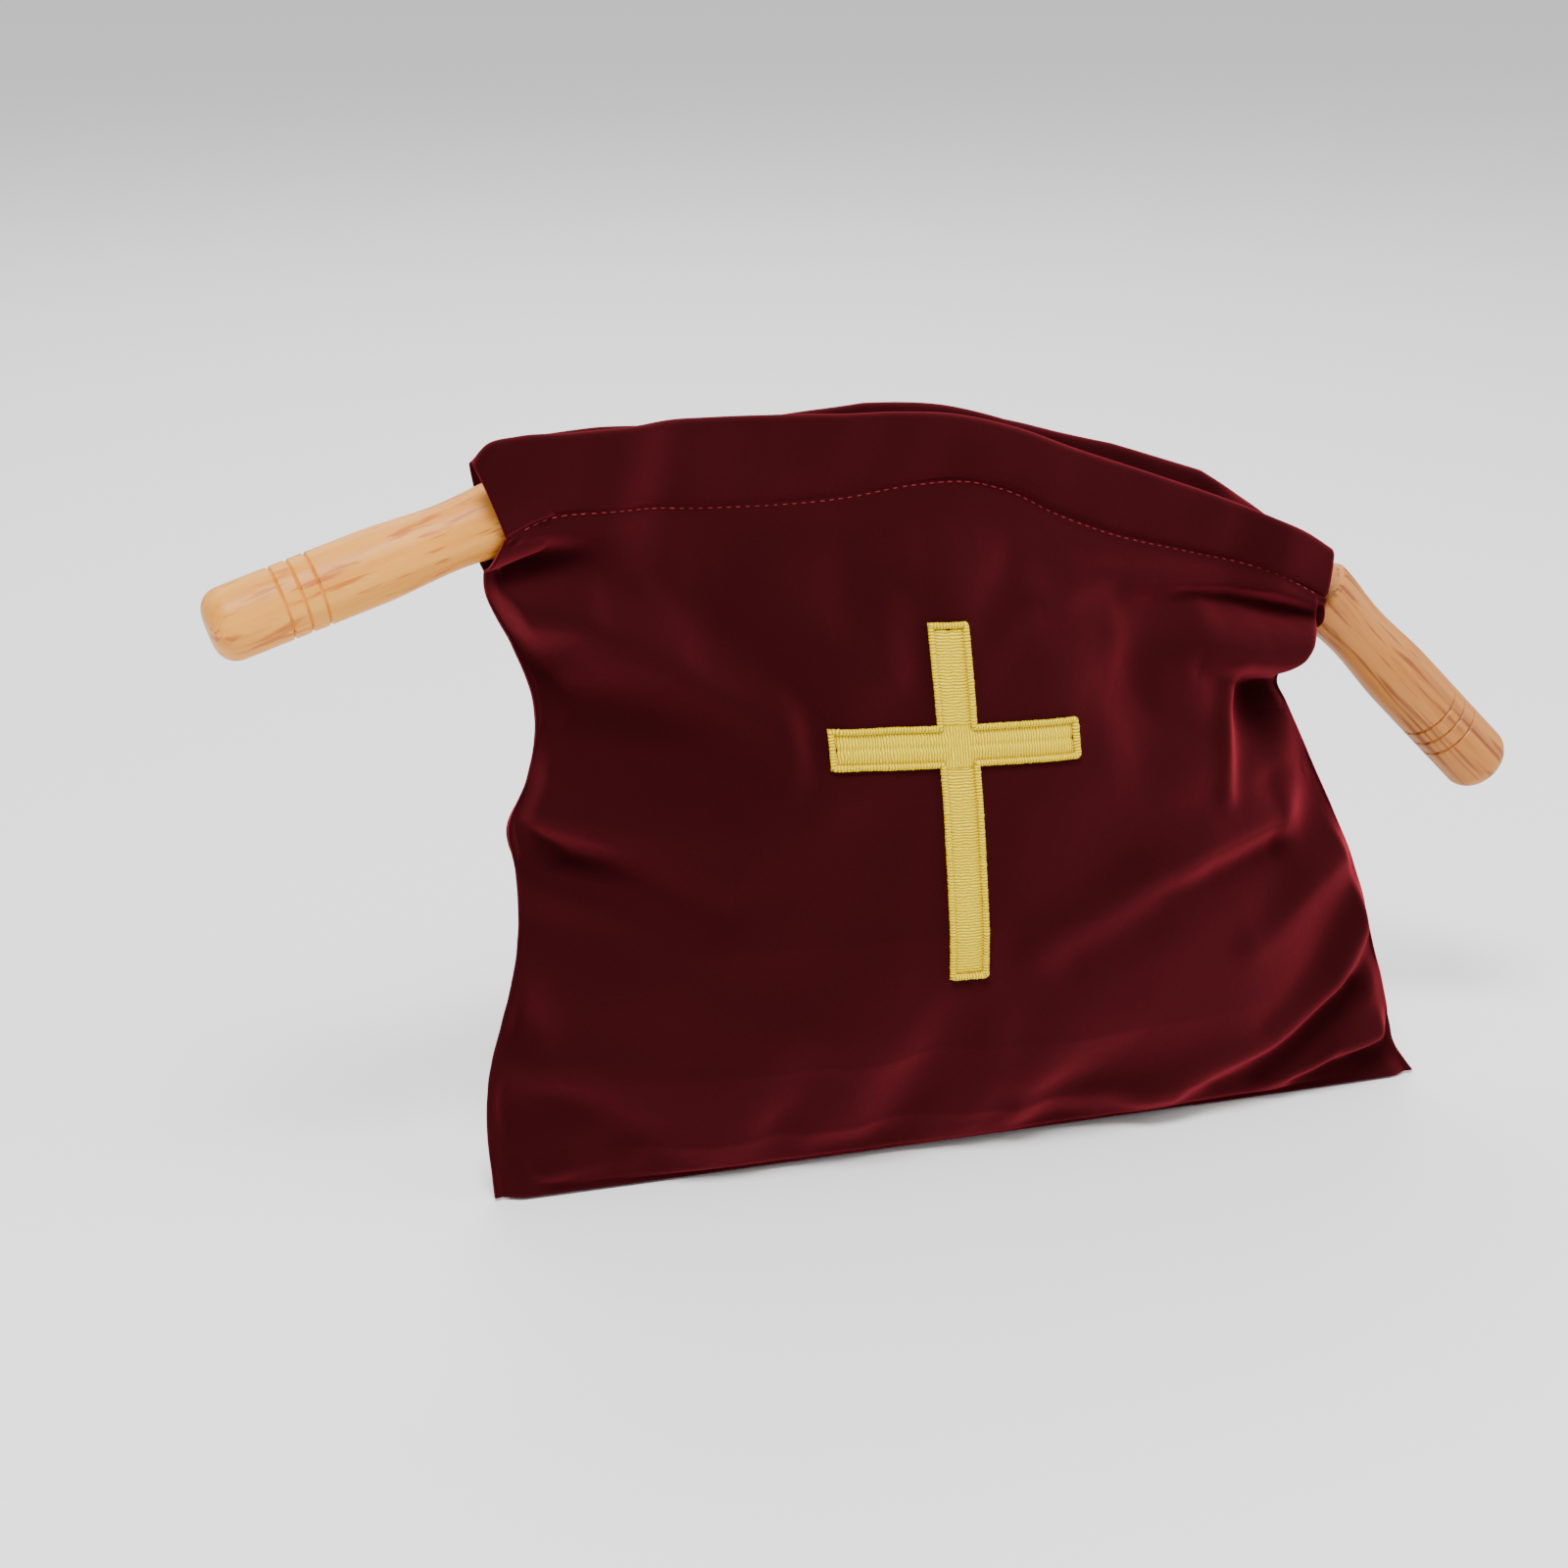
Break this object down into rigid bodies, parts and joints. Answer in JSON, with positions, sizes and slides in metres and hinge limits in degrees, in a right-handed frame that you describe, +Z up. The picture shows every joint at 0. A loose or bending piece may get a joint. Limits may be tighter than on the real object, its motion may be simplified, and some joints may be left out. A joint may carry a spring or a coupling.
{
  "type": "offering bag",
  "caption": "Standing velvet offering bag with an embroidered cross, arched spring-wire mouth hems that swing open, and two pivoting turned wooden handles.",
  "frame": {"origin": "middle of the base, on the surface that the bag stands on", "axes": "+Z up, -Y to the front with the cross, +X to the bag's right as seen from the front"},
  "size_m": [0.4539, 0.0854, 0.2524],
  "materials": {
    "velvet": "deep burgundy velvet pile, bright at grazing edges",
    "lining": "smooth matte lining cloth",
    "embroidery": "raised yellow satin stitch",
    "backing": "matte non-woven",
    "thread": "bright burgundy sewing thread",
    "wood": "light turned hardwood, clear satin lacquer",
    "spring_wire": "drawn spring wire",
    "steel": "zinc-plated pressed steel"
  },
  "bodies": {
    "bag": {"front_panel": "velvet", "back_panel": "velvet", "front_lining": "lining", "back_lining": "lining", "left_side_seam": "velvet", "right_side_seam": "velvet", "bottom_seam": "velvet", "cross_fill": "embroidery", "cross_border": "embroidery", "embroidery_backing": "backing", "left_end_link": "steel", "right_end_link": "steel", "left_bow_pin": "steel", "right_bow_pin": "steel", "left_handle_pin": "steel", "right_handle_pin": "steel"},
    "front_frame": {"front_bow": "spring_wire", "front_casing": "velvet", "front_casing_stitching": "thread"},
    "back_frame": {"back_bow": "spring_wire", "back_casing": "velvet", "back_casing_stitching": "thread"},
    "left_handle": {"left_handle_tongue": "steel", "left_grip": "wood"},
    "right_handle": {"right_handle_tongue": "steel", "right_grip": "wood"}
  },
  "joints": [
    {"name": "front_bow_hinge", "type": "hinge", "parent": "bag", "child": "front_frame", "pos_m": [-0.137, 0, 0.23], "axis": [0.9826, 0, -0.1857], "range_deg": [0, 30], "stiffness_Nm_per_rad": 0.06, "springref_deg": -20.05},
    {"name": "back_bow_hinge", "type": "hinge", "parent": "bag", "child": "back_frame", "pos_m": [-0.137, 0, 0.23], "axis": [-0.9826, 0, 0.1857], "range_deg": [0, 30], "stiffness_Nm_per_rad": 0.06, "springref_deg": -20.05},
    {"name": "left_handle_hinge", "type": "hinge", "parent": "bag", "child": "left_handle", "pos_m": [-0.137, 0, 0.23], "axis": [0, 1, 0], "range_deg": [0, 27]},
    {"name": "right_handle_hinge", "type": "hinge", "parent": "bag", "child": "right_handle", "pos_m": [0.12437, 0, 0.18061], "axis": [0, -1, 0], "range_deg": [0, 35]}
  ],
  "couplings": [
    {"joint": "back_bow_hinge", "follows": "front_bow_hinge", "ratio": 1}
  ]
}
